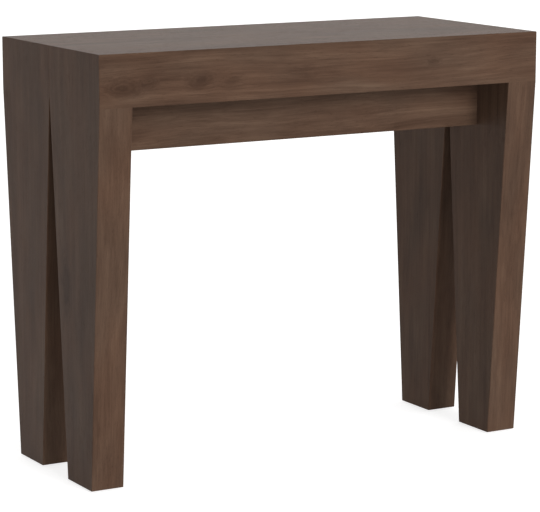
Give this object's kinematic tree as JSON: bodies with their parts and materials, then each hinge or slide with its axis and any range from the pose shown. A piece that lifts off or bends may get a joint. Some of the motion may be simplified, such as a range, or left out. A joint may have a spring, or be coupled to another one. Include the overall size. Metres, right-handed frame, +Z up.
{
  "type": "extending console table",
  "caption": "Console table with a box-edged top, tapered panel legs and recessed aprons; its front and rear halves slide apart on hidden telescopic rails.",
  "frame": {"origin": "on the floor, under the middle of the closed table", "axes": "+X along the width to the right, +Y to the rear (the wall side), +Z up"},
  "size_m": [0.9, 0.4, 0.77],
  "materials": {
    "walnut_laminate": "satin",
    "beech": "matte",
    "rail_aluminium": "satin",
    "slider_plastic": "satin",
    "zinc_steel": "satin",
    "glide_plastic": "matte"
  },
  "bodies": {
    "rear_half": {"left_rail_1": "rail_aluminium", "rail_sliders_1": "slider_plastic", "rear_apron": "walnut_laminate", "rear_apron_brackets": "zinc_steel", "rear_apron_screws": "zinc_steel", "rear_dowels": "beech", "rear_fascia": "walnut_laminate", "rear_foot_glides": "glide_plastic", "rear_left_end_panel": "walnut_laminate", "rear_left_foot_block": "beech", "rear_left_head_block": "beech", "rear_left_leg": "walnut_laminate", "rear_leg_bolts": "zinc_steel", "rear_rail_brackets": "zinc_steel", "rear_rail_screws": "zinc_steel", "rear_right_end_panel": "walnut_laminate", "rear_right_foot_block": "beech", "rear_right_head_block": "beech", "rear_right_leg": "walnut_laminate", "rear_top_board": "walnut_laminate", "right_rail_1": "rail_aluminium"},
    "front_half": {"front_apron": "walnut_laminate", "front_apron_brackets": "zinc_steel", "front_apron_screws": "zinc_steel", "front_dowels": "beech", "front_fascia": "walnut_laminate", "front_foot_glides": "glide_plastic", "front_left_end_panel": "walnut_laminate", "front_left_foot_block": "beech", "front_left_head_block": "beech", "front_left_leg": "walnut_laminate", "front_leg_bolts": "zinc_steel", "front_rail_brackets": "zinc_steel", "front_rail_screws": "zinc_steel", "front_right_end_panel": "walnut_laminate", "front_right_foot_block": "beech", "front_right_head_block": "beech", "front_right_leg": "walnut_laminate", "front_top_board": "walnut_laminate", "left_rail_7": "rail_aluminium", "rail_sliders_7": "slider_plastic", "right_rail_7": "rail_aluminium"},
    "rail_stage_2": {"left_rail_2": "rail_aluminium", "rail_sliders_2": "slider_plastic", "right_rail_2": "rail_aluminium"},
    "rail_stage_3": {"left_rail_3": "rail_aluminium", "rail_sliders_3": "slider_plastic", "right_rail_3": "rail_aluminium"},
    "rail_stage_4": {"left_rail_4": "rail_aluminium", "rail_sliders_4": "slider_plastic", "right_rail_4": "rail_aluminium"},
    "rail_stage_5": {"left_rail_5": "rail_aluminium", "rail_sliders_5": "slider_plastic", "right_rail_5": "rail_aluminium"},
    "rail_stage_6": {"left_rail_6": "rail_aluminium", "rail_sliders_6": "slider_plastic", "right_rail_6": "rail_aluminium"}
  },
  "joints": [
    {"name": "front_slide", "type": "slide", "parent": "rear_half", "child": "front_half", "axis": [0, -1, 0], "range_m": [0, 1.56]},
    {"name": "rail_2_slide", "type": "slide", "parent": "rear_half", "child": "rail_stage_2", "axis": [0, -1, 0], "range_m": [0, 0.26]},
    {"name": "rail_3_slide", "type": "slide", "parent": "rail_stage_2", "child": "rail_stage_3", "axis": [0, -1, 0], "range_m": [0, 0.26]},
    {"name": "rail_4_slide", "type": "slide", "parent": "rail_stage_3", "child": "rail_stage_4", "axis": [0, -1, 0], "range_m": [0, 0.26]},
    {"name": "rail_5_slide", "type": "slide", "parent": "rail_stage_4", "child": "rail_stage_5", "axis": [0, -1, 0], "range_m": [0, 0.26]},
    {"name": "rail_6_slide", "type": "slide", "parent": "rail_stage_5", "child": "rail_stage_6", "axis": [0, -1, 0], "range_m": [0, 0.26]}
  ],
  "couplings": [
    {"joint": "rail_2_slide", "follows": "front_slide", "ratio": 0.16667},
    {"joint": "rail_3_slide", "follows": "front_slide", "ratio": 0.16667},
    {"joint": "rail_4_slide", "follows": "front_slide", "ratio": 0.16667},
    {"joint": "rail_5_slide", "follows": "front_slide", "ratio": 0.16667},
    {"joint": "rail_6_slide", "follows": "front_slide", "ratio": 0.16667}
  ]
}
